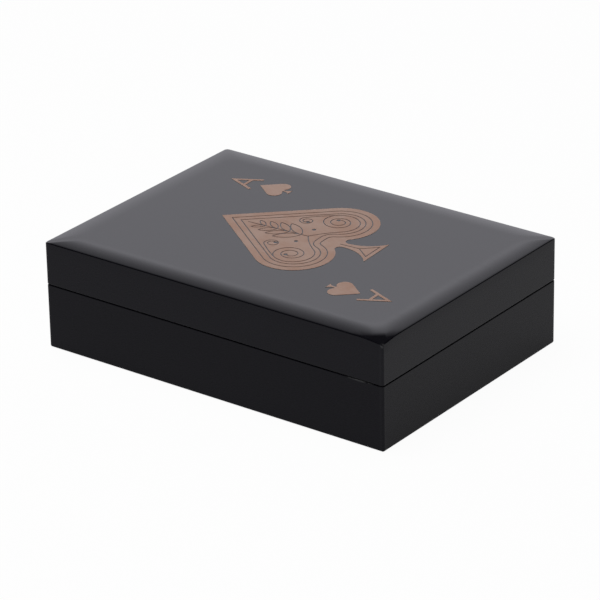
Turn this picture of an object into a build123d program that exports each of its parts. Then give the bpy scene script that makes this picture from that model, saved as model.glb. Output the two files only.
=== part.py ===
from build123d import *
from math import asin, atan2, cos, degrees, hypot, pi, radians, sin, sqrt, tan
import os

# A lacquered box for two decks of playing cards, with a hinged lid.
#
# Millimetres, +Z up. The origin is the centre of the underside. +X runs along
# the long front, whose outside is at -Y, and the hinges are on the back, at +Y.

# ---------------------------------------------------------------- dimensions

# Closed box, outside
box_length = 170.0
box_width = 122.0
box_height = 48.6
seam_height = 28.9          # middle of the gap between base and lid
seam_gap = 0.25
corner_radius = 1.0         # upright corners
rim_ease = 0.4              # rounded edges of both rims
foot_ease = 0.8             # rounded lower edge of the base

# Boards
wall_thickness = 9.0
bottom_thickness = 4.0
bottom_rebate = 4.5         # how far the bottom board reaches under each wall
top_thickness = 6.0

# Edge of the top board: a small round, then a gentle crown up to the flat
edge_round = 0.5
edge_steps = 4
crown_run = 11.0            # from the outside of the box to the flat
crown_fall = 0.85           # from the flat to the round
crown_steps = 4
eased_corner = 2.5          # corner radius where the round ends
flat_corner = 6.0           # corner radius of the flat

# Felt, velvet and divider
felt_thickness = 1.0
felt_stand = 0.4            # how far the felt holds the box off the table
felt_inset = 8.0
lining_thickness = 1.5
lining_setback = 2.0        # from the rims
pad_ease = 0.5
divider_thickness = 6.0
divider_setback = 5.0
divider_ease = 1.0
scoop_radius = 14.0
scoop_lip_radius = 3.0

# Hinges
hinge_length = 25.0
hinge_inset = 35.0          # from each end of the box to the hinge's middle
leaf_depth = 7.5
leaf_thickness = 1.8
knuckle_radius = 1.9
knuckle_count = 5
knuckle_gap = 0.15
knuckle_clearance = 0.12
groove_clearance = 0.15
groove_end_clearance = 0.3
pin_radius = 0.8
pin_clearance = 0.05
lid_opening = 95.0          # degrees, where the two heels meet
stop_play = 0.5             # degrees

# Screws, two in each leaf
screw_spacing = 15.0
screw_setback = 4.6         # from the hinge axis
screw_radius = 0.9
screw_head_radius = 1.8
screw_length = 8.0
screw_point = 2.0
screw_slot_width = 0.5
screw_slot_depth = 0.4

# Copper foil on the top
foil_thickness = 0.1
print_shift_x = 2.9         # the print sits a little off the middle
print_shift_y = 2.1
print_turn = 3.6            # degrees

# Large spade, measured from its tip towards its foot
spade_height = 75.5
spade_lead = 43.4           # from the middle of the print to the tip
spade_side_shift = 1.1
lobe_radius = 16.6
lobe_offset = 17.3
lobe_drop = 47.1
neck_half_width = 2.0
neck_fillet = 2.2
neck_drop = 60.9
foot_half_width = 9.8

# Lines left open in the large spade
fine_line = 0.45
outer_band = 3.0
inner_band = 2.35
vine_top = 13.0
vine_foot = 42.5
leaf_count = 4
leaf_first_drop = 21.5
leaf_pitch = 5.9
leaf_first_length = 6.0
leaf_growth = 2.0
leaf_rise = 52.0            # degrees
leaf_bulge = 0.17           # of the leaf's length
large_scroll_radius = 8.6
large_scroll_x = 17.3
large_scroll_drop = 46.7
large_scroll_start = 218.0  # degrees
small_scroll_radius = 3.0
small_scroll_x = 13.4
small_scroll_drop = 33.2
small_scroll_start = 45.0   # degrees
scroll_shrink = 0.74         # of the radius, each half turn
large_scroll_half_turns = 5
small_scroll_half_turns = 3
branch_angle = 30.0         # degrees, where the small scroll leaves the large
bead_radius = 0.9
bead_x = 6.8
bead_drop = 41.0
foot_line_top = 58.0
foot_mark_top = 67.3
foot_mark_half_width = 5.4
foot_mark_base = 73.6

# Corner marks
index_margin_x = 22.7       # from the short edge to the letter's top
index_margin_y = 25.4       # from the long edge to the mark's middle
letter_height = 13.2
letter_width = 10.8         # between the middles of the feet
letter_stroke = 1.3
letter_bar_drop = 8.6
index_gap = 1.7
small_spade_height = 15.1

# ------------------------------------------------------------ derived places

half_length = box_length / 2
half_width = box_width / 2
room_length = box_length - 2 * wall_thickness
room_width = box_width - 2 * wall_thickness
well_width = room_width - 2 * lining_thickness

base_rim = seam_height - seam_gap / 2
lid_rim = seam_height + seam_gap / 2
lid_ceiling = box_height - top_thickness
crown_slope = atan2(2 * crown_fall, crown_run - edge_round)     # where the round ends
round_foot = box_height - crown_fall - edge_round * cos(crown_slope)
floor = felt_stand + bottom_thickness

hinge_centres = {"left": hinge_inset - half_length, "right": half_length - hinge_inset}
knuckle_pitch = hinge_length / knuckle_count
BASE = -1                   # the base leaf lies below the seam
LID = 1                     # and the lid leaf above it

mitre_wedges = {
    "front": [
        (-half_length, -half_width),
        (half_length, -half_width),
        (half_length - half_width, 0),
        (half_width - half_length, 0),
    ],
    "back": [
        (-half_length, half_width),
        (half_length, half_width),
        (half_length - half_width, 0),
        (half_width - half_length, 0),
    ],
    "left": [
        (-half_length, -half_width),
        (-half_length, half_width),
        (half_width - half_length, 0),
    ],
    "right": [
        (half_length, -half_width),
        (half_length, half_width),
        (half_length - half_width, 0),
    ],
}

os.makedirs("parts", exist_ok=True)


def finish_piece(part, name):
    """Label a finished piece and write its STEP file."""
    part.label = name
    export_step(part, f"parts/{name}.step")


# ---------------------------------------------------------------- the boards


def screw_planes(centre_x, side):
    """Return the planes of one leaf's screw heads, facing out of the leaf."""
    face_height = seam_height + side * seam_gap / 2
    places = []
    for shift in (-screw_spacing / 2, screw_spacing / 2):
        origin = (centre_x + shift, half_width - screw_setback, face_height)
        places.append(Plane(origin, z_dir=(0, 0, -side)))
    return places


def cut_hinge_seats(side):
    """Cut the mortises, knuckle grooves and screw holes for both hinges."""
    leaf_middle = seam_height + side * (seam_gap + leaf_thickness) / 2
    groove_length = hinge_length + 2 * groove_end_clearance
    for centre_x in hinge_centres.values():
        with Locations((centre_x, half_width - leaf_depth / 2, leaf_middle)):
            Box(hinge_length, leaf_depth, leaf_thickness, mode=Mode.SUBTRACT)
        with Locations((centre_x, half_width, seam_height)):
            Cylinder(
                knuckle_radius + groove_clearance,
                groove_length,
                rotation=(0, 90, 0),
                mode=Mode.SUBTRACT,
            )
        with Locations(*screw_planes(centre_x, side)):
            Hole(screw_radius, depth=screw_length)


# The four walls of the base in one ring, before the corners are mitred
with BuildPart() as base_ring:
    with BuildSketch(Plane.XY.offset(felt_stand)):
        RectangleRounded(box_length, box_width, corner_radius)
        Rectangle(room_length, room_width, mode=Mode.SUBTRACT)
    extrude(amount=base_rim - felt_stand)
    with BuildSketch(Plane.XY.offset(felt_stand)):
        Rectangle(room_length + 2 * bottom_rebate, room_width + 2 * bottom_rebate)
    extrude(amount=bottom_thickness, mode=Mode.SUBTRACT)
    fillet(base_ring.edges().group_by(Axis.Z)[-1], rim_ease)
    fillet(base_ring.faces().sort_by(Axis.Z)[0].outer_wire().edges(), foot_ease)
    cut_hinge_seats(BASE)

# The four rails of the lid in one ring
with BuildPart() as lid_ring:
    with BuildSketch(Plane.XY.offset(lid_rim)):
        RectangleRounded(box_length, box_width, corner_radius)
        Rectangle(room_length, room_width, mode=Mode.SUBTRACT)
    extrude(amount=lid_ceiling - lid_rim)
    fillet(lid_ring.edges().group_by(Axis.Z)[0], rim_ease)
    cut_hinge_seats(LID)

for side_name, wedge in mitre_wedges.items():
    for ring, board_name in ((base_ring, "base_{}_wall"), (lid_ring, "lid_{}_rail")):
        with BuildPart() as board:
            add(ring.part)
            with BuildSketch():
                with BuildLine():
                    Polyline(*wedge, close=True)
                make_face()
            extrude(amount=box_height, mode=Mode.INTERSECT)
        finish_piece(board.part, board_name.format(side_name))

with BuildPart() as base_bottom_panel:
    with BuildSketch(Plane.XY.offset(felt_stand)):
        Rectangle(room_length + 2 * bottom_rebate, room_width + 2 * bottom_rebate)
    extrude(amount=bottom_thickness)
    with BuildSketch(Plane.XY.offset(felt_stand)):
        Rectangle(box_length - 2 * felt_inset, box_width - 2 * felt_inset)
    extrude(amount=felt_thickness - felt_stand, mode=Mode.SUBTRACT)
finish_piece(base_bottom_panel.part, "base_bottom_panel")

# The top board's edge: the inset from the outside, the height and the corner radius
round_inset = edge_round * (1 - sin(crown_slope))
edge_profile = []
for step in range(edge_steps + 1):
    climb = (pi / 2 - crown_slope) * step / edge_steps
    inset = edge_round * (1 - cos(climb))
    radius = corner_radius + (eased_corner - corner_radius) * inset / round_inset
    edge_profile.append((inset, round_foot + edge_round * sin(climb), radius))
for step in range(1, crown_steps + 1):
    to_go = 1 - step / crown_steps
    inset = crown_run - (crown_run - round_inset) * to_go
    radius = flat_corner - (flat_corner - eased_corner) * to_go
    edge_profile.append((inset, box_height - crown_fall * to_go**2, radius))

with BuildPart() as lid_top_panel:
    with BuildSketch(Plane.XY.offset(lid_ceiling)):
        RectangleRounded(box_length, box_width, corner_radius)
    extrude(amount=round_foot - lid_ceiling)
    for inset, height, radius in edge_profile:
        with BuildSketch(Plane.XY.offset(height)):
            RectangleRounded(box_length - 2 * inset, box_width - 2 * inset, radius)
    loft(ruled=True)
finish_piece(lid_top_panel.part, "lid_top_panel")

# ------------------------------------------------ felt, velvet and divider


def lay_slab(size_x, size_y, centre_x, centre_y, bottom, top):
    """Add an upright slab between two heights to the current part."""
    with Locations((centre_x, centre_y, bottom)):
        Box(size_x, size_y, top - bottom, align=(Align.CENTER, Align.CENTER, Align.MIN))


with BuildPart() as base_felt_pad:
    lay_slab(box_length - 2 * felt_inset, box_width - 2 * felt_inset, 0, 0, 0, felt_thickness)
finish_piece(base_felt_pad.part, "base_felt_pad")

lining_heights = {
    "base": (floor, base_rim - lining_setback),
    "lid": (lid_rim + lining_setback, lid_ceiling),
}
lining_shift_x = (room_length - lining_thickness) / 2
lining_shift_y = (room_width - lining_thickness) / 2

for half_name, (lining_bottom, lining_top) in lining_heights.items():
    for side_name, direction in (("front", -1), ("back", 1)):
        with BuildPart() as long_lining:
            centre_y = direction * lining_shift_y
            lay_slab(room_length, lining_thickness, 0, centre_y, lining_bottom, lining_top)
        finish_piece(long_lining.part, f"{half_name}_{side_name}_lining")
    for side_name, direction in (("left", -1), ("right", 1)):
        with BuildPart() as short_lining:
            centre_x = direction * lining_shift_x
            lay_slab(lining_thickness, well_width, centre_x, 0, lining_bottom, lining_top)
        finish_piece(short_lining.part, f"{half_name}_{side_name}_lining")

with BuildPart() as lid_ceiling_pad:
    ceiling_length = room_length - 2 * lining_thickness
    lay_slab(ceiling_length, well_width, 0, 0, lid_ceiling - lining_thickness, lid_ceiling)
    fillet(lid_ceiling_pad.edges().group_by(Axis.Z)[0], pad_ease)
finish_piece(lid_ceiling_pad.part, "lid_ceiling_pad")

well_length = (room_length - 2 * lining_thickness - divider_thickness) / 2
well_centre = (divider_thickness + well_length) / 2
for side_name, direction in (("left", -1), ("right", 1)):
    with BuildPart() as floor_pad:
        centre_x = direction * well_centre
        lay_slab(well_length, well_width, centre_x, 0, floor, floor + lining_thickness)
        fillet(floor_pad.edges().group_by(Axis.Z)[-1], pad_ease)
    finish_piece(floor_pad.part, f"well_floor_pad_{side_name}")

divider_top = base_rim - divider_setback
with BuildPart() as deck_divider:
    with BuildSketch(Plane.YZ) as divider_face:
        with Locations((0, (floor + divider_top) / 2)):
            Rectangle(well_width, divider_top - floor)
        with Locations((0, divider_top)):
            Circle(scoop_radius, mode=Mode.SUBTRACT)
        scoop_lips = divider_face.vertices().group_by(Axis.Z)[-1].sort_by(Axis.Y)[1:-1]
        fillet(scoop_lips, scoop_lip_radius)
    extrude(amount=divider_thickness / 2, both=True)
    upper_edges = deck_divider.faces().filter_by(Axis.X).edges().filter_by_position(
        Axis.Z, divider_top - scoop_radius, divider_top
    )
    fillet(upper_edges, divider_ease)
finish_piece(deck_divider.part, "deck_divider")

# ---------------------------------------------------------------- the hinges


def hinge_section(x):
    """Return the upright plane across the hinge axis at x, with +X out."""
    return Plane((x, half_width, seam_height), x_dir=(0, 1, 0), z_dir=(1, 0, 0))


def knuckle_starts(centre_x, side):
    """Return where one leaf's knuckle bays start; the base has both ends."""
    first = 0 if side == BASE else 1
    hinge_start = centre_x - hinge_length / 2
    return [hinge_start + bay * knuckle_pitch for bay in range(first, knuckle_count, 2)]


def build_leaf(centre_x, side):
    """Return one leaf with its knuckles and the bevelled heel that stops the lid."""
    bevel = tan(radians((lid_opening + stop_play) / 2))
    face = seam_gap / 2
    back = face + leaf_thickness
    bore_radius = pin_radius if side == BASE else pin_radius + pin_clearance
    with BuildPart() as leaf:
        with BuildSketch(hinge_section(centre_x)):
            with BuildLine():
                Polyline(
                    (-leaf_depth, side * face),
                    (face / bevel, side * face),
                    (back / bevel, side * back),
                    (-leaf_depth, side * back),
                    close=True,
                )
            make_face()
        extrude(amount=hinge_length / 2, both=True)
        for start in knuckle_starts(centre_x, -side):
            with BuildSketch(hinge_section(start)):
                Circle(knuckle_radius + knuckle_clearance)
            extrude(amount=knuckle_pitch, mode=Mode.SUBTRACT)
        for start in knuckle_starts(centre_x, side):
            with BuildSketch(hinge_section(start + knuckle_gap / 2)):
                Circle(knuckle_radius)
            extrude(amount=knuckle_pitch - knuckle_gap)
        with BuildSketch(hinge_section(centre_x)):
            Circle(bore_radius)
        extrude(amount=hinge_length / 2, both=True, mode=Mode.SUBTRACT)
        with Locations(*screw_planes(centre_x, side)):
            CounterSinkHole(screw_radius, screw_head_radius, depth=leaf_thickness, counter_sink_angle=90)
    return leaf.part


for side_name, centre_x in hinge_centres.items():
    finish_piece(build_leaf(centre_x, BASE), f"hinge_base_leaf_{side_name}")
    finish_piece(build_leaf(centre_x, LID), f"hinge_lid_leaf_{side_name}")
    with BuildPart() as hinge_pin:
        with BuildSketch(hinge_section(centre_x)):
            Circle(pin_radius)
        extrude(amount=hinge_length / 2, both=True)
    finish_piece(hinge_pin.part, f"hinge_pin_{side_name}")

# One screw, its head flush with z = 0 and its point down
with BuildPart() as screw:
    with BuildSketch(Plane.XZ):
        with BuildLine():
            Polyline(
                (0, 0),
                (screw_head_radius, 0),
                (screw_radius, screw_radius - screw_head_radius),
                (screw_radius, screw_point - screw_length),
                (0, -screw_length),
                close=True,
            )
        make_face()
    revolve(axis=Axis.Z)
    with Locations((0, 0, -screw_slot_depth / 2)):
        Box(2 * screw_head_radius, screw_slot_width, screw_slot_depth, mode=Mode.SUBTRACT)

for side, name in ((BASE, "base_leaf_screws"), (LID, "lid_leaf_screws")):
    with BuildPart() as screws:
        for centre_x in hinge_centres.values():
            with Locations(*screw_planes(centre_x, side)):
                add(screw.part)
    finish_piece(screws.part, name)

# ------------------------------------------------------------ the copper foil

# The flank runs from the tip and touches the lobe
lobe_reach = hypot(lobe_offset, lobe_drop)
flank_lean = atan2(lobe_offset, lobe_drop) + asin(lobe_radius / lobe_reach)
flank_length = sqrt(lobe_reach**2 - lobe_radius**2)
flank_foot = (flank_length * sin(flank_lean), -flank_length * cos(flank_lean))
# The valley is where the lobe's circle meets the side of the neck
valley_run = lobe_offset - neck_half_width
valley_fall = sqrt(lobe_radius**2 - valley_run**2)
valley = (neck_half_width, -lobe_drop - valley_fall)
lobe_start = degrees(flank_lean)
lobe_end = degrees(atan2(valley_fall, valley_run)) - 180

# Head of the spade, with its tip at the origin and its foot towards -Y
with BuildSketch() as spade_head:
    with BuildLine():
        Line((0, 0), flank_foot)
        CenterArc((lobe_offset, -lobe_drop), lobe_radius, lobe_start, lobe_end - lobe_start)
        Line(valley, (0, valley[1]))
        mirror(about=Plane.YZ)
    make_face()

with BuildSketch() as spade_outline:
    add(spade_head.sketch)
    with BuildLine():
        Line((0, valley[1]), valley)
        Line(valley, (neck_half_width, -neck_drop))
        TangentArc(
            (neck_half_width, -neck_drop),
            (foot_half_width, -spade_height),
            tangent=(0, -1),
        )
        Line((foot_half_width, -spade_height), (0, -spade_height))
        mirror(about=Plane.YZ)
    make_face()
    valley_corners = spade_outline.vertices().filter_by_position(
        Axis.Y, valley[1] - fine_line, valley[1] + fine_line
    )
    fillet(valley_corners, neck_fillet)


def scroll(centre, radius, half_turns, start_angle):
    """Draw a scroll of shrinking half circles and return its inner end."""
    centre = Vector(*centre)
    angle = start_angle
    for _ in range(half_turns):
        arc = CenterArc(centre, radius, angle, 180)
        centre -= Vector(radius * (1 - scroll_shrink), 0).rotate(Axis.Z, angle)
        radius *= scroll_shrink
        angle += 180
    return arc @ 1


# The open lines of the right half: vine, leaves, two scrolls and beads
with BuildSketch() as scrollwork:
    with BuildLine():
        Line((0, -vine_top), (0, -vine_foot))
    trace(line_width=fine_line)
    for leaf in range(leaf_count):
        leaf_root = Vector(0, -leaf_first_drop - leaf * leaf_pitch)
        leaf_length = leaf_first_length + leaf * leaf_growth
        leaf_run = Vector(leaf_length, 0).rotate(Axis.Z, leaf_rise)
        for sagitta in (-leaf_bulge * leaf_length, leaf_bulge * leaf_length):
            with BuildLine():
                SagittaArc(leaf_root, leaf_root + leaf_run, sagitta)
            trace(line_width=fine_line)
    with BuildLine() as large_scroll:
        large_eye = scroll(
            (large_scroll_x, -large_scroll_drop),
            large_scroll_radius,
            large_scroll_half_turns,
            large_scroll_start,
        )
        scroll_root = Vector(large_scroll_x, -large_scroll_drop) + Vector(
            large_scroll_radius, 0
        ).rotate(Axis.Z, large_scroll_start)
        root_heading = Vector(0, -1).rotate(Axis.Z, large_scroll_start)
        TangentArc(scroll_root, (0, -vine_foot), tangent=root_heading)
    trace(line_width=fine_line)
    with BuildLine() as small_scroll:
        small_eye = scroll(
            (small_scroll_x, -small_scroll_drop),
            small_scroll_radius,
            small_scroll_half_turns,
            small_scroll_start,
        )
        branch_foot = Vector(large_scroll_x, -large_scroll_drop) + Vector(
            large_scroll_radius, 0
        ).rotate(Axis.Z, branch_angle)
        branch_top = Vector(small_scroll_x, -small_scroll_drop) + Vector(
            small_scroll_radius, 0
        ).rotate(Axis.Z, small_scroll_start)
        branch_heading = Vector(0, -1).rotate(Axis.Z, small_scroll_start)
        TangentArc(branch_top, branch_foot, tangent=branch_heading)
    trace(line_width=fine_line)
    with Locations(large_eye, small_eye, (bead_x, -bead_drop)):
        Circle(bead_radius)
    with BuildLine():
        Line((0, -foot_line_top), (0, -foot_mark_top))
    trace(line_width=fine_line)
    with BuildLine():
        Polyline(
            (0, -foot_mark_top),
            (foot_mark_half_width, -foot_mark_base),
            (0, -foot_mark_base),
        )
    trace(line_width=fine_line)
    mirror(about=Plane.YZ)

print_centre = Vector(print_shift_x, print_shift_y, box_height)
print_up = Vector(-1, 0, 0).rotate(Axis.Z, print_turn)      # towards the spade's tip
print_side = Vector(0, 1, 0).rotate(Axis.Z, print_turn)

with BuildPart() as spade_foil:
    spade_tip = print_centre + print_up * spade_lead + print_side * spade_side_shift
    with BuildSketch(Plane(spade_tip, x_dir=print_side, z_dir=(0, 0, 1))):
        add(spade_outline.sketch)
        for line_inset in (outer_band, outer_band + fine_line + inner_band):
            add(offset(spade_head.sketch, -line_inset, mode=Mode.PRIVATE), mode=Mode.SUBTRACT)
            add(offset(spade_head.sketch, -line_inset - fine_line, mode=Mode.PRIVATE))
        add(scrollwork.sketch, mode=Mode.SUBTRACT)
    extrude(amount=foil_thickness)
finish_piece(spade_foil.part, "spade_foil")

# One corner mark, with the letter's top at the origin. The strokes' middle
# lines meet below it, because their outer sides run on to a point.
leg_lean = atan2(letter_width / 2, letter_height)
leg_top = -letter_stroke / 2 / sin(leg_lean)
bar_half_width = (letter_bar_drop + leg_top) * tan(leg_lean)
with BuildSketch() as rank_letter:
    with BuildLine():
        Polyline(
            (-letter_width / 2, -letter_height),
            (0, leg_top),
            (letter_width / 2, -letter_height),
        )
    trace(line_width=letter_stroke)
    with BuildLine():
        Line((-bar_half_width, -letter_bar_drop), (bar_half_width, -letter_bar_drop))
    trace(line_width=letter_stroke)

index_run = half_length - index_margin_x
index_rise = half_width - index_margin_y
with BuildPart() as corner_letter_foils:
    for turn in (0, 180):
        up = print_up.rotate(Axis.Z, turn)
        across = print_side.rotate(Axis.Z, turn)
        letter_top = print_centre + up * index_run + across * index_rise
        with BuildSketch(Plane(letter_top, x_dir=across, z_dir=(0, 0, 1))):
            add(rank_letter.sketch)
        extrude(amount=foil_thickness)
finish_piece(corner_letter_foils.part, "corner_letter_foils")

with BuildPart() as corner_spade_foils:
    for turn in (0, 180):
        up = print_up.rotate(Axis.Z, turn)
        across = print_side.rotate(Axis.Z, turn)
        tip_run = index_run - letter_height - index_gap
        tip = print_centre + up * tip_run + across * index_rise
        with BuildSketch(Plane(tip, x_dir=across, z_dir=(0, 0, 1))):
            add(scale(spade_outline.sketch, small_spade_height / spade_height, mode=Mode.PRIVATE))
        extrude(amount=foil_thickness)
finish_piece(corner_spade_foils.part, "corner_spade_foils")
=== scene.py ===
"""The looks of a playing card box: black lacquer, copper print, velvet, felt and brass.

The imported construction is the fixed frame. Every piece keeps the place that the frame
gives it, so sizes here are either read from the frame or belong to a surface, such as
the rise of a pad or the depth of an orange peel. All lengths are in metres.
"""

import logging
import math
from abc import ABC, abstractmethod
from collections.abc import Iterable, Mapping, Sequence
from dataclasses import dataclass
from enum import Enum
from typing import Any

import bmesh
import bpy
from mathutils import Matrix, Vector, noise


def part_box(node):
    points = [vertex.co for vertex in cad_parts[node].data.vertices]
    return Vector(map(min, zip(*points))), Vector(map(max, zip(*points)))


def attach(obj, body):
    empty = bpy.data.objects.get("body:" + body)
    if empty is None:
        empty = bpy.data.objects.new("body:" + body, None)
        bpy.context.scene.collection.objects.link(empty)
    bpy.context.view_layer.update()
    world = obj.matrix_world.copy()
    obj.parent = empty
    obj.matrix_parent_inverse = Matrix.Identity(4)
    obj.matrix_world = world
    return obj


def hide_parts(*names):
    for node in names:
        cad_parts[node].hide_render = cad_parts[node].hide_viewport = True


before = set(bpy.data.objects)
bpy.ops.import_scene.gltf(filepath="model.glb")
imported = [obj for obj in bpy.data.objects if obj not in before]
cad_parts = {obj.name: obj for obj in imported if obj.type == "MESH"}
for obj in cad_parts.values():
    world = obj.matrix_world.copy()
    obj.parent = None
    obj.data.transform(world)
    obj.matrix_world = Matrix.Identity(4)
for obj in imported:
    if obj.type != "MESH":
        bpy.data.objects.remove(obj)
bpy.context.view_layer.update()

MM = 0.001
HAIR = 0.0001 * MM  # less than this counts as no distance
log = logging.getLogger("card_box")


class Body(Enum):
    """The two bodies of the box that the hinges join."""

    BASE = "base"
    LID = "lid"


# ---------------------------------------------------------------- shader expressions


class Signal:
    """A value in a node tree; Python's operators on it add Math nodes."""

    def __init__(self, nodes: "Nodes", socket: bpy.types.NodeSocket) -> None:
        """Wraps a socket.

        Args:
            nodes: The tree that the socket belongs to.
            socket: The output that gives the value.
        """
        self.nodes = nodes
        self.socket = socket

    def _math(self, operation: str, *terms: "Signal | float") -> "Signal":
        """Adds one Math node on the terms, in their order."""
        return self.nodes.add("ShaderNodeMath", {"operation": operation}, dict(enumerate(terms)))

    def __add__(self, other: "Signal | float") -> "Signal":
        """Returns self + other."""
        return self._math("ADD", self, other)

    __radd__ = __add__

    def __sub__(self, other: "Signal | float") -> "Signal":
        """Returns self - other."""
        return self._math("SUBTRACT", self, other)

    def __rsub__(self, other: "Signal | float") -> "Signal":
        """Returns other - self."""
        return self._math("SUBTRACT", other, self)

    def __mul__(self, other: "Signal | float") -> "Signal":
        """Returns self * other."""
        return self._math("MULTIPLY", self, other)

    __rmul__ = __mul__

    def between(self, low: float, high: float) -> "Signal":
        """Fades from 0 to 1, or back where low is the larger, in a smooth step.

        Args:
            low: The value at which the result is 0.
            high: The value at which the result is 1.

        Returns:
            The smooth step, from 0 to 1.
        """
        edges = {"Value": self, "From Min": low, "From Max": high}
        return self.nodes.add("ShaderNodeMapRange", {"interpolation_type": "SMOOTHSTEP"}, edges)


class Nodes:
    """A node tree that is written as Python expressions."""

    def __init__(self, tree: bpy.types.NodeTree) -> None:
        """Empties a tree and writes into it.

        Args:
            tree: The node tree of a material or of the world.
        """
        self.tree = tree
        tree.nodes.clear()

    def add(
        self,
        kind: str,
        settings: Mapping[str, Any] | None = None,
        inputs: Mapping[str | int, Any] | None = None,
        output: str | int = 0,
    ) -> Signal | None:
        """Adds a node: its settings first, then the values and links of its sockets.

        Args:
            kind: The node's type.
            settings: Its properties; "stops" holds a colour ramp's positions and greys.
            inputs: Its sockets by name or index, each with a Signal or a constant.
            output: The socket to return.

        Returns:
            The chosen output, or None for a node that has none.
        """
        node = self.tree.nodes.new(kind)
        for name, value in (settings or {}).items():
            if name == "stops":
                self._set_stops(node.color_ramp.elements, value)
            else:
                setattr(node, name, value)
        for key, value in (inputs or {}).items():
            if isinstance(value, Signal):
                self.tree.links.new(value.socket, node.inputs[key])
            else:
                node.inputs[key].default_value = value
        return Signal(self, node.outputs[output]) if node.outputs else None

    @staticmethod
    def _set_stops(
        elements: bpy.types.ColorRampElements, stops: Sequence[tuple[float, float]]
    ) -> None:
        """Gives a colour ramp its stops, each a position and a grey."""
        while len(elements) < len(stops):
            elements.new(1.0)
        for element, (position, grey) in zip(elements, stops):
            element.position = position
            element.color = (grey, grey, grey, 1.0)

    def place(self) -> Signal:
        """Returns the point on the piece, in the frame's metres."""
        return self.add("ShaderNodeTexCoord", output="Object")

    def split(self, vector: Signal) -> list[Signal]:
        """Returns a vector's X, Y and Z."""
        first = self.add("ShaderNodeSeparateXYZ", inputs={0: vector})
        return [Signal(self, socket) for socket in first.socket.node.outputs]

    def stretched(self, vector: Signal, scale: Sequence[float], turn: float = 0.0) -> Signal:
        """Turns a pattern about Z and draws it out.

        Args:
            vector: The point that the pattern is read at.
            scale: How many times finer the pattern gets along X, Y and Z.
            turn: The turn about Z, in degrees.

        Returns:
            The changed point.
        """
        inputs = {"Vector": vector, "Rotation": (0, 0, math.radians(turn)), "Scale": tuple(scale)}
        return self.add("ShaderNodeMapping", inputs=inputs)

    def offset(self, vector: Signal, start: Sequence[float]) -> Signal:
        """Returns the way from a starting point to a point."""
        return self.add("ShaderNodeVectorMath", {"operation": "SUBTRACT"}, {0: vector, 1: start})

    def length(self, vector: Signal) -> Signal:
        """Returns a vector's length."""
        return self.add("ShaderNodeVectorMath", {"operation": "LENGTH"}, {0: vector}, "Value")

    def noise(self, vector: Signal, size: float, detail: float = 2.0, rough: float = 0.5) -> Signal:
        """Adds a noise pattern.

        Args:
            vector: The point that the pattern is read at.
            size: The size of its largest lumps, in metres.
            detail: How many times finer lumps are added.
            rough: How strong the finer lumps are.

        Returns:
            The noise, mostly from 0.3 to 0.7.
        """
        inputs = {"Vector": vector, "Scale": 1 / size, "Detail": detail, "Roughness": rough}
        return self.add("ShaderNodeTexNoise", inputs=inputs)

    def specks(self, vector: Signal, spacing: float, radius: float) -> Signal:
        """Adds scattered round specks.

        Args:
            vector: The point that the pattern is read at.
            spacing: The distance from one cell of the scatter to the next.
            radius: A speck's radius as a share of that distance.

        Returns:
            1 in a speck and 0 outside it.
        """
        distance = self.add("ShaderNodeTexVoronoi", inputs={"Vector": vector, "Scale": 1 / spacing})
        return distance.between(radius, 0.5 * radius)

    def tint(
        self, mask: Signal, plain: Signal | Sequence[float], marked: Signal | Sequence[float]
    ) -> Signal:
        """Blends two colours, each three numbers or a Signal that gives them.

        Args:
            mask: 0 for the plain colour and 1 for the marked one.
            plain: The colour where the mask is 0.
            marked: The colour where the mask is 1.

        Returns:
            The blended colour.
        """
        ends = [c if isinstance(c, Signal) else (*c, 1.0) for c in (plain, marked)]
        inputs = {0: mask, 6: ends[0], 7: ends[1]}
        return self.add("ShaderNodeMix", {"data_type": "RGBA"}, inputs, output=2)

    def bump(self, height: Signal, depth: float, below: Signal | None = None) -> Signal:
        """Raises a surface by a pattern.

        Args:
            height: The pattern.
            depth: How far a height of 1 stands up, in metres.
            below: The normal of a coarser bump that this one is laid on.

        Returns:
            The new normal.
        """
        inputs = {"Height": height, "Distance": depth}
        if below is not None:
            inputs["Normal"] = below
        return self.add("ShaderNodeBump", inputs=inputs)

    def surface(self, shader: Signal) -> None:
        """Makes a shader the material's surface."""
        self.add("ShaderNodeOutputMaterial", inputs={"Surface": shader})


# ---------------------------------------------------------------- finishes


class Finish(ABC):
    """A surface that can dress any number of pieces."""

    name: str

    def material(self) -> bpy.types.Material:
        """Returns this finish's material, made when it is first asked for."""
        # The frame's own materials have the record's names, so these names differ
        name = f"{self.name}_finish"
        found = bpy.data.materials.get(name)
        if found is None:
            found = bpy.data.materials.new(name)
            found.use_nodes = True
            nodes = Nodes(found.node_tree)
            nodes.surface(self.shade(nodes))
        return found

    @abstractmethod
    def shade(self, nodes: Nodes) -> Signal:
        """Writes the finish's nodes.

        Args:
            nodes: The material's empty tree.

        Returns:
            The shader of the surface.
        """


@dataclass(frozen=True)
class PaleSpot:
    """A spot where the lacquer is painted paler: rubbed-thin wear at the seam, and a painted highlight
    at the top of the front-right upright edge.

    Attributes:
        middle: Its middle, in metres.
        reach: How far it reaches from there along X, Y and Z, in metres.
        full_share: The share of its reach over which it is worn in full.
    """

    middle: tuple[float, float, float]
    reach: tuple[float, float, float]
    full_share: float = 0.55

    def mask(self, nodes: Nodes, place: Signal) -> Signal:
        """Writes the spot: 1 in its middle and 0 outside it."""
        per_reach = [1 / reach for reach in self.reach]
        way_out = nodes.length(nodes.stretched(nodes.offset(place, self.middle), per_reach))
        return way_out.between(1.0, self.full_share)


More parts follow.
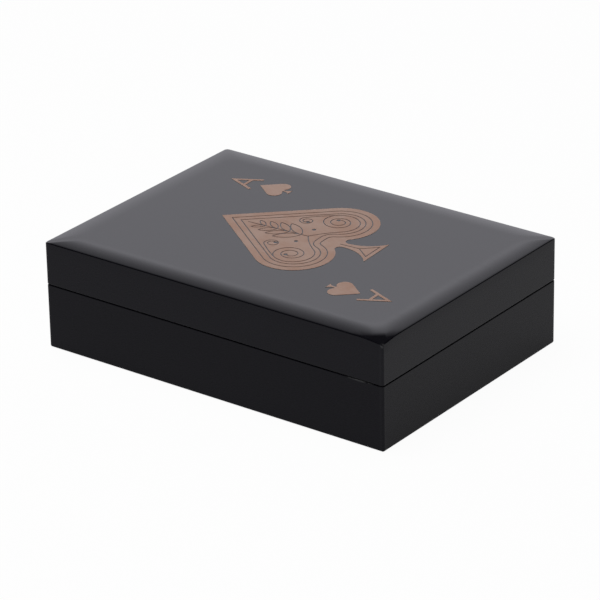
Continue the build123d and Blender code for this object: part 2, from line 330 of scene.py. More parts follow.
@dataclass(frozen=True)
class Lacquer(Finish):
    """Black lacquer over board: slow waves, orange peel, rubbing marks, wear, dust, and painted
    highlights on the upright edges and one corner.
    """

    name: str
    roughness: float
    specular: float
    mirror_tint: tuple[float, float, float] = (1.0, 1.0, 1.0)
    black: tuple[float, float, float] = (0.0044, 0.0042, 0.0060)
    # The grey of the dust specks, the wear and the painted highlights
    dust_wear_and_highlight_grey: tuple[float, float, float] = (0.050, 0.050, 0.051)
    wave_size: float = 24 * MM
    wave_depth: float = 0.030 * MM
    peel_size: float = 1.4 * MM
    peel_depth: float = 0.0016 * MM
    rub_size: float = 11 * MM
    rub_narrowing: tuple[float, float, float] = (1, 14, 14)
    rub_turn: float = 18.0
    rub_dulling: float = 0.06
    cloud_size: float = 38 * MM
    cloud_dulling: float = 0.05
    dust_spacing: float = 5.5 * MM
    dust_radius: float = 0.022
    dust_strength: float = 0.8
    patch_size: float = 2.5 * MM
    worn_and_highlight_spots: tuple[PaleSpot, ...] = (
        PaleSpot(middle=(73.5 * MM, -61 * MM, 28.7 * MM), reach=(7.5 * MM, 1 * MM, 0.55 * MM)),
        # A painted highlight, not wear: the top of the front-right upright edge is painted paler
        PaleSpot(middle=(84.6 * MM, -60.6 * MM, 46.3 * MM), reach=(0.9 * MM, 0.9 * MM, 1.2 * MM)),
    )
    spot_dulling: float = 0.25
    upright_edge: tuple[float, float, float] = (85 * MM, 61 * MM, 0.0)
    upright_reach: tuple[float, float] = (2.2 * MM, 0.5 * MM)
    # How much paler the upright edges are painted, as a painted highlight
    upright_highlight: float = 0.12

    def shade(self, nodes: Nodes) -> Signal:
        """Writes the lacquer's nodes."""
        place = nodes.place()
        waves = nodes.noise(place, self.wave_size, detail=1.0)
        peel = nodes.noise(place, self.peel_size, detail=2.0)
        rub_lines = nodes.stretched(place, self.rub_narrowing, self.rub_turn)
        rubbed = nodes.noise(rub_lines, self.rub_size, detail=4.0).between(0.5, 0.7)
        cloud = nodes.noise(place, self.cloud_size, detail=3.0)
        dust = nodes.specks(place, self.dust_spacing, self.dust_radius)
        patchy = nodes.noise(place, self.patch_size, detail=3.0).between(0.36, 0.56)
        # The spot mask holds wear at the seam and a painted highlight at the front-right corner
        wear_and_highlight_mask = patchy * sum(spot.mask(nodes, place) for spot in self.worn_and_highlight_spots)
        # Painted highlight: the four upright edges are painted paler, where light would catch their
        # rounds
        painted_edge_highlight = self.upright_highlight * self.near_upright_edge(nodes, place)
        roughness = self.roughness + self.cloud_dulling * (cloud - 0.5)
        roughness = roughness + self.rub_dulling * rubbed + self.spot_dulling * wear_and_highlight_mask
        inputs = {
            # Dust, wear and painted highlights all pale the black towards one grey
            "Base Color": nodes.tint(
                self.dust_strength * dust + wear_and_highlight_mask + painted_edge_highlight, self.black, self.dust_wear_and_highlight_grey
            ),
            "Roughness": roughness,
            "Specular IOR Level": self.specular,
            "Specular Tint": (*self.mirror_tint, 1.0),
            "Normal": nodes.bump(peel, self.peel_depth, below=nodes.bump(waves, self.wave_depth)),
        }
        return nodes.add("ShaderNodeBsdfPrincipled", inputs=inputs)

    def near_upright_edge(self, nodes: Nodes, place: Signal) -> Signal:
        """Writes 1 at the box's four upright edges and 0 away from them, where a highlight is painted.
        """
        mirrored = nodes.add("ShaderNodeVectorMath", {"operation": "ABSOLUTE"}, {0: place})
        from_edge = nodes.stretched(nodes.offset(mirrored, self.upright_edge), (1, 1, 0))
        return nodes.length(from_edge).between(*self.upright_reach)


@dataclass(frozen=True)
class CopperFoil(Finish):
    """Satin copper print, grainy, with pinholes and a slow change of tone."""

    name: str = "copper_foil"
    copper: tuple[float, float, float] = (0.405, 0.232, 0.155)
    pale: tuple[float, float, float] = (0.46, 0.305, 0.228)
    bare: tuple[float, float, float] = (0.03, 0.022, 0.02)
    metallic: float = 0.55
    roughness: float = 0.42
    tone_size: float = 9 * MM
    grain_size: float = 0.35 * MM
    grain_depth: float = 0.012 * MM
    brush_size: float = 3.2 * MM
    brush_narrowing: tuple[float, float, float] = (1, 9, 9)
    brush_turn: float = -34.0
    pinhole_spacing: float = 1.7 * MM
    pinhole_radius: float = 0.07

    def shade(self, nodes: Nodes) -> Signal:
        """Writes the foil's nodes."""
        place = nodes.place()
        tone = nodes.noise(place, self.tone_size, detail=3.0)
        grain = nodes.noise(place, self.grain_size, detail=3.0, rough=0.7)
        brush_lines = nodes.stretched(place, self.brush_narrowing, self.brush_turn)
        brushed = nodes.noise(brush_lines, self.brush_size, detail=4.0)
        pinholes = nodes.specks(place, self.pinhole_spacing, self.pinhole_radius)
        toned = nodes.tint((0.6 * tone + 0.4 * brushed).between(0.38, 0.62), self.copper, self.pale)
        inputs = {
            "Base Color": nodes.tint(0.7 * pinholes, toned, self.bare),
            "Metallic": self.metallic + 0.2 * (tone - 0.5),
            "Roughness": self.roughness + 0.16 * (grain - 0.5) + 0.12 * (brushed - 0.5),
            "Normal": nodes.bump(grain, self.grain_depth),
        }
        return nodes.add("ShaderNodeBsdfPrincipled", inputs=inputs)


@dataclass(frozen=True)
class Velvet(Finish):
    """Short black pile: fine tufts, and patches where the nap lies another way."""

    name: str = "black_velvet"
    deep: tuple[float, float, float] = (0.0105, 0.0105, 0.012)
    brushed: tuple[float, float, float] = (0.019, 0.019, 0.0215)
    sheen: float = 0.55
    sheen_tint: tuple[float, float, float] = (0.55, 0.56, 0.60)
    pile_size: float = 0.32 * MM
    pile_depth: float = 0.16 * MM
    nap_size: float = 26 * MM
    stroke_size: float = 12 * MM

    def shade(self, nodes: Nodes) -> Signal:
        """Writes the velvet's nodes."""
        place = nodes.place()
        pile = nodes.noise(place, self.pile_size, detail=2.0, rough=0.6)
        broad = nodes.stretched(place, (1, 1.8, 1.8), turn=25)
        narrow = nodes.stretched(place, (1, 5, 5), turn=8)
        nap = nodes.noise(broad, self.nap_size, detail=3.0)
        strokes = nodes.noise(narrow, self.stroke_size, detail=3.0)
        lying = (0.65 * nap + 0.35 * strokes).between(0.42, 0.58)
        inputs = {
            "Base Color": nodes.tint(0.7 * lying + 0.6 * (pile - 0.5), self.deep, self.brushed),
            "Roughness": 0.82 + 0.12 * lying,
            "Specular IOR Level": 0.15,
            "Sheen Weight": self.sheen,
            "Sheen Roughness": 0.35,
            "Sheen Tint": (*self.sheen_tint, 1.0),
            "Normal": nodes.bump(pile, self.pile_depth),
        }
        return nodes.add("ShaderNodeBsdfPrincipled", inputs=inputs)


@dataclass(frozen=True)
class WoolFelt(Finish):
    """Pressed black wool: crossing fibres over a matted ground."""

    name: str = "black_felt"
    wool: tuple[float, float, float] = (0.012, 0.012, 0.013)
    fibre: tuple[float, float, float] = (0.042, 0.042, 0.045)
    mat_size: float = 1.1 * MM
    mat_depth: float = 0.10 * MM
    fibre_narrowing: tuple[float, float, float] = (1, 7, 7)
    fibre_turns: tuple[float, float] = (35.0, -52.0)
    fibre_lengths: tuple[float, float] = (2.4 * MM, 2.1 * MM)

    def shade(self, nodes: Nodes) -> Signal:
        """Writes the felt's nodes."""
        place = nodes.place()
        matted = nodes.noise(place, self.mat_size, detail=4.0, rough=0.7)
        one_way, other_way = (
            nodes.noise(nodes.stretched(place, self.fibre_narrowing, turn), length, detail=4.0)
            for turn, length in zip(self.fibre_turns, self.fibre_lengths)
        )
        fibres = one_way.between(0.52, 0.66) + other_way.between(0.53, 0.67)
        inputs = {
            "Base Color": nodes.tint(0.5 * fibres * matted, self.wool, self.fibre),
            "Roughness": 0.92,
            "Specular IOR Level": 0.15,
            "Sheen Weight": 0.3,
            "Sheen Roughness": 0.5,
            "Normal": nodes.bump(fibres + matted, self.mat_depth),
        }
        return nodes.add("ShaderNodeBsdfPrincipled", inputs=inputs)


@dataclass(frozen=True)
class Brass(Finish):
    """Brass with fine drawing lines, slow tarnish and a few dark specks."""

    name: str
    bright: tuple[float, float, float]
    tarnished: tuple[float, float, float]
    roughness: float
    line_depth: float
    metallic: float = 0.75
    tarnish_size: float = 6 * MM
    line_length: float = 5 * MM
    line_narrowing: tuple[float, float, float] = (1, 26, 26)
    speck_spacing: float = 2.3 * MM
    speck_radius: float = 0.06

    def shade(self, nodes: Nodes) -> Signal:
        """Writes the brass's nodes."""
        place = nodes.place()
        tarnish = nodes.noise(place, self.tarnish_size, detail=4.0).between(0.42, 0.66)
        drawn = nodes.stretched(place, self.line_narrowing)
        lines = nodes.noise(drawn, self.line_length, detail=3.0, rough=0.6)
        specks = nodes.specks(place, self.speck_spacing, self.speck_radius)
        inputs = {
            "Base Color": nodes.tint(0.35 * tarnish + 0.3 * specks, self.bright, self.tarnished),
            "Metallic": self.metallic,
            "Roughness": self.roughness + 0.16 * tarnish + 0.12 * (lines - 0.5),
            "Normal": nodes.bump(lines, self.line_depth),
        }
        return nodes.add("ShaderNodeBsdfPrincipled", inputs=inputs)


COOL = (0.91, 0.89, 1.0)
POLISHED_TOP = Lacquer("lacquer_polished_top", roughness=0.07, specular=0.5)
SATIN_SIDES = Lacquer("lacquer_satin_sides", roughness=0.24, specular=0.132, mirror_tint=COOL)
DULLER_BASE = Lacquer("lacquer_duller_base", roughness=0.25, specular=0.106, mirror_tint=COOL)
PRINT = CopperFoil()
PILE = Velvet()
FELT = WoolFelt()
HINGE_BRASS = Brass(
    "hinge_brass",
    bright=(0.84, 0.64, 0.34),
    tarnished=(0.55, 0.37, 0.16),
    roughness=0.18,
    line_depth=0.003 * MM,
)
SCREW_BRASS = Brass(
    "screw_brass",
    bright=(0.60, 0.43, 0.21),
    tarnished=(0.32, 0.21, 0.09),
    roughness=0.30,
    line_depth=0.012 * MM,
)


# ---------------------------------------------------------------- meshes and pieces


def dress(nodes: Iterable[str], finish: Finish) -> list[bpy.types.Object]:
    """Gives CAD nodes a finish.

    Args:
        nodes: The nodes' names.
        finish: What they are covered with.

    Returns:
        The dressed objects.
    """
    pieces = [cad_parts[name] for name in nodes]
    for piece in pieces:
        piece.data.materials.clear()
        piece.data.materials.append(finish.material())
    return pieces


def make_piece(
    mesh: bmesh.types.BMesh,
    name: str,
    body: Body,
    finishes: Sequence[Finish],
    replaced: str,
) -> bpy.types.Object:
    """Turns a finished bmesh into a piece that stands for a CAD node.

    Args:
        mesh: The shape, in the frame's metres; it is freed.
        name: The piece's name.
        body: The body that it moves with.
        finishes: Its materials, in the order of the faces' material indices.
        replaced: The CAD node that it stands for.

    Returns:
        The piece.
    """
    bmesh.ops.recalc_face_normals(mesh, faces=mesh.faces)
    data = bpy.data.meshes.new(name)
    mesh.to_mesh(data)
    mesh.free()
    for finish in finishes:
        data.materials.append(finish.material())
    piece = bpy.data.objects.new(name, data)
    bpy.context.scene.collection.objects.link(piece)
    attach(piece, body.value)
    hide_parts(replaced)
    return piece


def block(low: Vector, high: Vector) -> bmesh.types.BMesh:
    """Starts a mesh as a box.

    Args:
        low: Its lowest corner.
        high: Its highest corner.

    Returns:
        The box.
    """
    mesh = bmesh.new()
    size = high - low
    matrix = Matrix.Translation((low + high) / 2) @ Matrix.Diagonal((*size, 1))
    bmesh.ops.create_cube(mesh, size=1.0, matrix=matrix)
    return mesh


def divide_block(mesh: bmesh.types.BMesh, step: float) -> None:
    """Cuts a box's long edges into equal parts of about the given length.

    Args:
        mesh: The box.
        step: The length that the parts come near to.
    """
    for axis in range(3):
        along = [e for e in mesh.edges if runs_along(e, axis)]
        cuts = round(max(e.calc_length() for e in along) / step) - 1
        if cuts > 0:
            bmesh.ops.subdivide_edges(mesh, edges=along, cuts=cuts, use_grid_fill=True)


def runs_along(edge: bmesh.types.BMEdge, axis: int) -> bool:
    """Says whether an edge is parallel to an axis."""
    across = edge.verts[1].co - edge.verts[0].co
    across[axis] = 0
    return across.length < HAIR


def round_sharp_edges(
    mesh: bmesh.types.BMesh, radius: float, segments: int, sharp_angle: float = 60.0
) -> None:
    """Rounds every edge that turns by more than an angle.

    Args:
        mesh: The shape.
        radius: The size of the round.
        segments: How many faces it has.
        sharp_angle: The angle, in degrees.
    """
    sharp = [e for e in mesh.edges if e.calc_face_angle(0.0) > math.radians(sharp_angle)]
    bmesh.ops.bevel(
        mesh,
        geom=sharp,
        affect="EDGES",
        offset=radius,
        segments=segments,
        profile=0.5,
        material=-1,
        clamp_overlap=True,
    )


def shade_smooth(mesh: bmesh.types.BMesh, sharp_angle: float = 50.0) -> None:
    """Smooths a mesh's faces and keeps the edges past an angle sharp.

    Args:
        mesh: The shape.
        sharp_angle: The angle, in degrees.
    """
    for face in mesh.faces:
        face.smooth = True
    for edge in mesh.edges:
        edge.smooth = edge.calc_face_angle(0.0) < math.radians(sharp_angle)


@dataclass
class LidShell:
    """The lid's outer boards: four rails, and the top with its rounded, crowned edge."""

    corner_radius: float = 1.0 * MM
    edge_round: float = 0.5 * MM
    edge_steps: int = 8
    crown_run: float = 11 * MM
    crown_fall: float = 0.85 * MM
    crown_steps: int = 16
    eased_corner: float = 2.5 * MM
    flat_corner: float = 6 * MM
    flat_margin: float = 1 * MM
    corner_steps: int = 16
    rub_reach: float = 7 * MM
    rub_slope: float = 0.12
    rub_easing: float = 0.8 * MM
    long_cuts: int = 41
    short_cuts: int = 29
    polish_share: float = 0.5
    rails: tuple[str, ...] = (
        "lid_front_rail",
        "lid_back_rail",
        "lid_left_rail",
        "lid_right_rail",
    )

    def build(self) -> list[bpy.types.Object]:
        """Builds the top board and dresses the rails."""
        return [self.top_board(), *dress(self.rails, SATIN_SIDES)]

    def edge_profile(self) -> list[tuple[float, float, float]]:
        """Works out the board's edge: a small round, then a gentle crown up to the flat.

        Returns:
            For each ring, how far it lies inside the board's outline and below its top,
            and the radius of its corners.
        """
        slope = math.atan2(2 * self.crown_fall, self.crown_run - self.edge_round)
        round_foot = self.crown_fall + self.edge_round * math.cos(slope)
        round_inset = self.edge_round * (1 - math.sin(slope))
        rings = []
        for step in range(self.edge_steps + 1):
            climb = (math.pi / 2 - slope) * step / self.edge_steps
            inset = self.edge_round * (1 - math.cos(climb))
            widening = (self.eased_corner - self.corner_radius) * inset / round_inset
            depth = round_foot - self.edge_round * math.sin(climb)
            rings.append((inset, depth, self.corner_radius + widening))
        for step in range(1, self.crown_steps + 1):
            to_go = 1 - step / self.crown_steps
            inset = self.crown_run - (self.crown_run - round_inset) * to_go
            radius = self.flat_corner - (self.flat_corner - self.eased_corner) * to_go
            rings.append((inset, self.crown_fall * to_go**2, radius))
        rings.append((self.crown_run + self.flat_margin, 0.0, self.flat_corner))
        return rings

    def outline(
        self, mesh: bmesh.types.BMesh, inset: float, height: float, radius: float
    ) -> bmesh.types.BMFace:
        """Lays a rectangle with rounded corners.

        Args:
            mesh: The mesh that it is added to.
            inset: How far it lies inside the board's outline.
            height: Its height.
            radius: The radius of its corners.

        Returns:
            The rectangle.
        """
        low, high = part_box("lid_top_panel")
        size = Vector((high.x - low.x - 2 * inset, high.y - low.y - 2 * inset, 1))
        middle = Vector(((low.x + high.x) / 2, (low.y + high.y) / 2, height))
        matrix = Matrix.Translation(middle) @ Matrix.Diagonal((*size, 1))
        made = bmesh.ops.create_grid(mesh, x_segments=1, y_segments=1, size=0.5, matrix=matrix)
        bevelled = bmesh.ops.bevel(
            mesh,
            geom=made["verts"],
            affect="VERTICES",
            offset=radius,
            segments=self.corner_steps,
            profile=0.5,
            material=-1,
        )
        face = max(bevelled["verts"][0].link_faces, key=lambda face: face.calc_area())
        for axis, cuts in ((0, self.long_cuts), (1, self.short_cuts)):
            straight = [edge for edge in face.edges if runs_along(edge, axis)]
            bmesh.ops.bisect_edges(mesh, edges=straight, cuts=cuts)
        return face

    def top_board(self) -> bpy.types.Object:
        """Makes the top board from rings that climb its edge."""
        low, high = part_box("lid_top_panel")
        profile = self.edge_profile()
        mesh = bmesh.new()
        faces = [self.outline(mesh, 0.0, low.z, self.corner_radius)]
        faces += [self.outline(mesh, inset, high.z - depth, r) for inset, depth, r in profile]
        loops = [list(face.edges) for face in faces]
        bmesh.ops.delete(mesh, geom=faces[1:-1], context="FACES_ONLY")
        # Rings so close together are only paired rightly at a larger scale
        bmesh.ops.scale(mesh, verts=mesh.verts, vec=(1 / MM, 1 / MM, 1 / MM))
        for lower, upper in zip(loops, loops[1:]):
            bmesh.ops.bridge_loops(mesh, edges=lower + upper)
        bmesh.ops.scale(mesh, verts=mesh.verts, vec=(MM, MM, MM))
        polish_foot = high.z - self.crown_fall - self.polish_share * self.edge_round
        for face in mesh.faces:
            face.material_index = 1 if face.calc_center_median().z > polish_foot else 0
        self.rub_corner(mesh, Vector((high.x, low.y, high.z)))
        shade_smooth(mesh)
        finishes = (SATIN_SIDES, POLISHED_TOP)
        return make_piece(mesh, "lid_top_board", Body.LID, finishes, "lid_top_panel")

    def rub_corner(self, mesh: bmesh.types.BMesh, corner: Vector) -> None:
        """Slopes the top away to one corner, where fingers lift the lid.

        Args:
            mesh: The board.
            corner: The corner, before it is rounded.
        """
        for vertex in mesh.verts:
            if vertex.co.z > corner.z - self.crown_fall - self.edge_round:
                from_corner = vertex.co - corner
                along_diagonal = (abs(from_corner.x) + abs(from_corner.y)) / math.sqrt(2)
                inward = self.rub_reach - along_diagonal
                vertex.co.z -= self.rub_slope * (inward + math.hypot(inward, self.rub_easing)) / 2


@dataclass
class BaseShell:
    """The base's outer boards, the bottom panel and the felt under it."""

    felt_step: float = 2.5 * MM
    felt_ease: float = 0.25 * MM
    felt_fray: float = 0.18 * MM
    felt_fray_size: float = 3 * MM
    felt_rim_share: float = 0.98
    boards: tuple[str, ...] = (
        "base_front_wall",
        "base_back_wall",
        "base_left_wall",
        "base_right_wall",
        "base_bottom_panel",
    )

    def build(self) -> list[bpy.types.Object]:
        """Dresses the boards and cuts the felt."""
        return [*dress(self.boards, DULLER_BASE), self.felt()]

    def felt(self) -> bpy.types.Object:
        """Cuts the felt pad, with a slightly uneven edge."""
        low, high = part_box("base_felt_pad")
        mesh = block(low, high)
        divide_block(mesh, self.felt_step)
        round_sharp_edges(mesh, self.felt_ease, 2)
        middle = (low + high) / 2
        for vertex in mesh.verts:
            outward = vertex.co - middle
            across = abs(outward.x) / (high.x - middle.x)
            along = abs(outward.y) / (high.y - middle.y)
            if max(across, along) > self.felt_rim_share:
                frayed = 0.5 + 0.5 * noise.noise(vertex.co / self.felt_fray_size)
                vertex.co.x -= math.copysign(self.felt_fray * frayed, outward.x)
                vertex.co.y -= math.copysign(self.felt_fray * frayed, outward.y)
        shade_smooth(mesh)
        piece = make_piece(mesh, "felt_foot_pad", Body.BASE, (FELT,), "base_felt_pad")
        return piece


@dataclass
class CopperPrint:
    """The printed ace: a large spade, two small ones and two letters."""

    foils: tuple[str, ...] = ("spade_foil", "corner_spade_foils", "corner_letter_foils")

    def build(self) -> list[bpy.types.Object]:
        """Dresses the foils."""
        return dress(self.foils, PRINT)


@dataclass
class VelvetLining:
    """The velvet inside: covered wall panels, two floor pads and the ceiling pad."""

    wall_step: float = 2.6 * MM
    wall_ease: float = 0.5 * MM
    pad_step: float = 2.4 * MM
    pad_ease: float = 0.45 * MM
    pad_edge_share: float = 0.66
    pad_draw_in: float = 0.45 * MM
    ease_steps: int = 3
    ripple_depth: float = 0.10 * MM
    ripple_size: float = 14 * MM
    sides: tuple[str, ...] = ("front", "back", "left", "right")

    def build(self) -> list[bpy.types.Object]:
        """Builds every covered panel and pad."""
        walls = [self.wall(body, side) for body in Body for side in self.sides]
        pads = [
            self.pad("well_floor_pad_left", Body.BASE, upward=True),
            self.pad("well_floor_pad_right", Body.BASE, upward=True),
            self.pad("lid_ceiling_pad", Body.LID, upward=False),
        ]
        return walls + pads

    def wall(self, body: Body, side: str) -> bpy.types.Object:
        """Covers a wall panel with velvet.

        Args:
            body: The half of the box that it lines.
            side: The wall that it lies against.

        Returns:
            The panel.
        """
        node = f"{body.value}_{side}_lining"
        mesh = block(*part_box(node))
        divide_block(mesh, self.wall_step)
        round_sharp_edges(mesh, self.wall_ease, self.ease_steps)
        self.ripple(mesh)
        shade_smooth(mesh)
        piece = make_piece(mesh, f"{node}_velvet", body, (PILE,), node)
        return piece

    def pad(self, node: str, body: Body, upward: bool) -> bpy.types.Object:
        """Makes a thin pad, crowned on its free side and drawn in between its corners.

        Args:
            node: The CAD node that it stands for.
            body: The body that it moves with.
            upward: Whether its free side faces up.

        Returns:
            The pad.
        """
        low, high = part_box(node)
        mesh = block(low, high)
        divide_block(mesh, self.pad_step)
        round_sharp_edges(mesh, self.pad_ease, self.ease_steps)
        self.ripple(mesh)
        middle, half = (low + high) / 2, (high - low) / 2
        for vertex in mesh.verts:
            across = (vertex.co.x - middle.x) / half.x
            along = (vertex.co.y - middle.y) / half.y
            swell = (1 - across**4) * (1 - along**4)
            share = self.pad_edge_share + (1 - self.pad_edge_share) * swell
            rest = low.z if upward else high.z
            vertex.co.z = rest + (vertex.co.z - rest) * share
            vertex.co.x -= across * self.pad_draw_in * (1 - along**2)
            vertex.co.y -= along * self.pad_draw_in * (1 - across**2)
        shade_smooth(mesh)
        piece = make_piece(mesh, f"{node}_velvet", body, (PILE,), node)
        return piece

    def ripple(self, mesh: bmesh.types.BMesh) -> None:
        """Sinks the surface a little, here more and there less, as glued cloth lies."""
        mesh.normal_update()
        for vertex in mesh.verts:
            sunk = 0.5 + 0.5 * noise.noise(vertex.co / self.ripple_size)
            vertex.co -= vertex.normal * self.ripple_depth * sunk


@dataclass
class Divider:
    """The velvet-covered board between the two decks, with a scoop for the fingers."""

    scoop_radius: float = 14 * MM
    lip_radius: float = 3 * MM
    ease: float = 1.1 * MM
    scoop_steps: int = 40
    lip_steps: int = 8
    ease_steps: int = 4

    def build(self) -> list[bpy.types.Object]:
        """Builds the divider."""
        low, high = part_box("deck_divider")
        mesh = bmesh.new()
        self.profile(mesh, low, high)
        made = bmesh.ops.extrude_face_region(mesh, geom=mesh.faces[:])
        moved = [v for v in made["geom"] if isinstance(v, bmesh.types.BMVert)]
        bmesh.ops.translate(mesh, verts=moved, vec=(high.x - low.x, 0, 0))
        bmesh.ops.recalc_face_normals(mesh, faces=mesh.faces)
        round_sharp_edges(mesh, self.ease, self.ease_steps)
        shade_smooth(mesh)
        name = "deck_divider_velvet"
        piece = make_piece(mesh, name, Body.BASE, (PILE,), "deck_divider")
        return [piece]

    def profile(self, mesh: bmesh.types.BMesh, low: Vector, high: Vector) -> None:
        """Draws the divider's face in the plane of its left side.

        Args:
            mesh: The empty mesh that it is drawn in.
            low: The divider's lowest corner.
            high: Its highest corner.
        """
        reach = self.scoop_radius + self.lip_radius
        lip_y = math.sqrt(reach**2 - self.lip_radius**2)
        dip = math.asin(self.lip_radius / reach)
        lip_turn = math.pi / 2 - dip
        lip_z = high.z - self.lip_radius
        first = mesh.verts.new((low.x, lip_y, high.z))
        last = self.arc(mesh, first, (low.x, lip_y, lip_z), lip_turn, self.lip_steps)
        last = self.arc(mesh, last, (low.x, 0, high.z), 2 * dip - math.pi, self.scoop_steps)
        last = self.arc(mesh, last, (low.x, -lip_y, lip_z), lip_turn, self.lip_steps)
        for y, z in ((low.y, high.z), (low.y, low.z), (high.y, low.z), (high.y, high.z)):
            corner = mesh.verts.new((low.x, y, z))
            mesh.edges.new((last, corner))
            last = corner
        mesh.edges.new((last, first))
        bmesh.ops.contextual_create(mesh, geom=mesh.edges[:])

    @staticmethod
    def arc(
        mesh: bmesh.types.BMesh,
        start: bmesh.types.BMVert,
        centre: Sequence[float],
        turn: float,
        steps: int,
    ) -> bmesh.types.BMVert:
        """Spins a point about X into an arc.

        Args:
            mesh: The mesh that the arc is added to.
            start: The point that it starts from.
            centre: A point on the axis.
            turn: The angle in radians, counter-clockwise seen from +X.
            steps: How many edges the arc has.

        Returns:
            The arc's last point.
        """
        made = bmesh.ops.spin(
            mesh, geom=[start], cent=centre, axis=(1, 0, 0), angle=turn, steps=steps
        )
        return next(v for v in made["geom_last"] if isinstance(v, bmesh.types.BMVert))


@dataclass
class Hinges:
    """The two brass hinges, their pins and their screws."""

    sides: tuple[str, ...] = ("left", "right")

    def build(self) -> list[bpy.types.Object]:
        """Dresses leaves, pins and screws."""
        brass = [
            f"hinge_{part}_{side}" for side in self.sides for part in ("base_leaf", "lid_leaf", "pin")
        ]
        screws = ("base_leaf_screws", "lid_leaf_screws")
        return [*dress(brass, HINGE_BRASS), *dress(screws, SCREW_BRASS)]


# ---------------------------------------------------------------- studio


@dataclass(frozen=True)
class PaleFloor(Finish):
    """A white floor that the camera and reflections see as paper white."""

    name: str = "pale_floor"
    white: tuple[float, float, float, float] = (0.86, 0.86, 0.86, 1.0)
    own_light: float = 0.96
    own_reflection: float = 0.50

    def shade(self, nodes: Nodes) -> Signal:
        """Writes the floor's nodes."""
        camera, glossy, through = (
            nodes.add("ShaderNodeLightPath", output=f"Is {kind} Ray")
            for kind in ("Camera", "Glossy", "Transmission")
        )
        own = self.own_light * camera + self.own_reflection * (glossy + through)
        matt = nodes.add("ShaderNodeBsdfDiffuse", inputs={"Color": self.white})
        lit = nodes.add("ShaderNodeEmission", inputs={"Color": (1, 1, 1, 1), "Strength": 1.0})
        return nodes.add("ShaderNodeMixShader", inputs={"Fac": own, 1: matt, 2: lit})


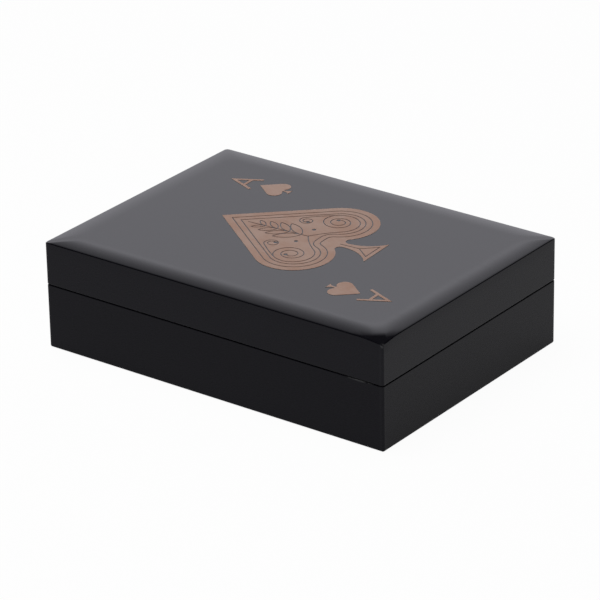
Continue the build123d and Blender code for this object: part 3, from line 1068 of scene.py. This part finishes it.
@dataclass
class Studio:
    """The camera, the floor, one soft lamp overhead and the studio's walls."""

    camera_place: tuple[float, float, float] = (0.823758, -1.090536, 0.650632)
    camera_azimuth: float = 37.083
    camera_elevation: float = 24.749
    camera_roll: float = -1.085
    focal_pixels: float = 3650.0
    image_pixels: int = 600
    sensor: float = 36.0
    floor_size: float = 12.0
    floor_height: float = -0.05 * MM
    lamp_place: tuple[float, float, float] = (-0.25, -0.35, 1.7)
    lamp_size: float = 1.4
    lamp_power: float = 26.0
    wall_white: tuple[float, float, float] = (1.25, 1.24, 1.34)
    back_wall_stops: tuple[tuple[float, float], ...] = (
        (0.00, 0.71),
        (0.37, 0.73),
        (0.415, 0.79),
        (0.44, 0.90),
        (0.46, 0.945),
        (0.48, 0.83),
        (0.52, 0.58),
        (0.566, 0.384),
        (0.62, 0.22),
        (0.67, 0.12),
        (0.69, 0.02),
    )
    camera_side: tuple[float, float, float] = (0.60, -0.80, 0.0)
    back_wall_edge: tuple[float, float] = (-0.35, -0.60)
    front_wall_edge: tuple[float, float] = (0.45, 0.80)
    front_wall_top: tuple[float, float] = (0.5, 0.2)
    front_wall_light: float = 0.5

    def build(self) -> None:
        """Sets up everything round the box."""
        bpy.context.scene.view_settings.view_transform = "Standard"
        self.camera()
        self.floor()
        self.lamp()
        self.walls()

    def camera(self) -> None:
        """Places the camera at the photograph's view."""
        azimuth = math.radians(self.camera_azimuth)
        elevation = math.radians(self.camera_elevation)
        roll = math.radians(self.camera_roll)
        forward = Vector(
            (
                -math.sin(azimuth) * math.cos(elevation),
                math.cos(azimuth) * math.cos(elevation),
                -math.sin(elevation),
            )
        )
        level = Vector((math.cos(azimuth), math.sin(azimuth), 0))
        right = math.cos(roll) * level + math.sin(roll) * level.cross(forward)
        up = right.cross(forward)
        data = bpy.data.cameras.new("camera")
        data.sensor_width = self.sensor
        data.lens = self.focal_pixels * self.sensor / self.image_pixels
        data.clip_start, data.clip_end = 0.05, 40.0
        camera = bpy.data.objects.new("camera", data)
        camera.matrix_world = Matrix.LocRotScale(
            Vector(self.camera_place), Matrix((right, up, -forward)).transposed(), None
        )
        bpy.context.scene.collection.objects.link(camera)
        bpy.context.scene.camera = camera

    def floor(self) -> None:
        """Lays the floor."""
        mesh = bmesh.new()
        matrix = Matrix.Translation((0, 0, self.floor_height))
        bmesh.ops.create_grid(
            mesh, x_segments=1, y_segments=1, size=self.floor_size / 2, matrix=matrix
        )
        data = bpy.data.meshes.new("floor")
        mesh.to_mesh(data)
        mesh.free()
        data.materials.append(PaleFloor().material())
        floor = bpy.data.objects.new("floor", data)
        bpy.context.scene.collection.objects.link(floor)

    def lamp(self) -> None:
        """Hangs the soft lamp, which reflections don't show."""
        data = bpy.data.lights.new("soft_lamp", "AREA")
        data.shape = "SQUARE"
        data.size = self.lamp_size
        data.energy = self.lamp_power
        lamp = bpy.data.objects.new("soft_lamp", data)
        lamp.location = self.lamp_place
        lamp.rotation_euler = (-Vector(self.lamp_place)).to_track_quat("-Z", "Y").to_euler()
        lamp.visible_glossy = False
        bpy.context.scene.collection.objects.link(lamp)

    def walls(self) -> None:
        """Lights the studio's walls: white low behind the box, dim in front and dark overhead."""
        world = bpy.data.worlds.new("studio_walls")
        world.use_nodes = True
        bpy.context.scene.world = world
        nodes = Nodes(world.node_tree)
        direction = nodes.add("ShaderNodeTexCoord", output="Generated")
        _, _, height = nodes.split(direction)
        inputs = {0: direction, 1: self.camera_side}
        toward = nodes.add("ShaderNodeVectorMath", {"operation": "DOT_PRODUCT"}, inputs, "Value")
        back_wall = nodes.add("ShaderNodeValToRGB", {"stops": self.back_wall_stops}, {0: height})
        back_wall = back_wall * toward.between(*self.back_wall_edge)
        front_wall = self.front_wall_light * toward.between(*self.front_wall_edge)
        front_wall = front_wall * height.between(*self.front_wall_top)
        colour = nodes.tint(back_wall + front_wall, (0.0, 0.0, 0.0), self.wall_white)
        background = nodes.add("ShaderNodeBackground", inputs={"Color": colour, "Strength": 1.0})
        nodes.add("ShaderNodeOutputWorld", inputs={"Surface": background})


def main() -> None:
    """Builds the box's sub-assemblies in order, then the studio."""
    logging.basicConfig(level=logging.INFO, format="%(message)s")
    for assembly in (BaseShell(), LidShell(), CopperPrint(), VelvetLining(), Divider(), Hinges()):
        for piece in assembly.build():
            log.info("%s: %s, %d faces", type(assembly).__name__, piece.name, len(piece.data.polygons))
    Studio().build()


if __name__ == "__main__":
    main()
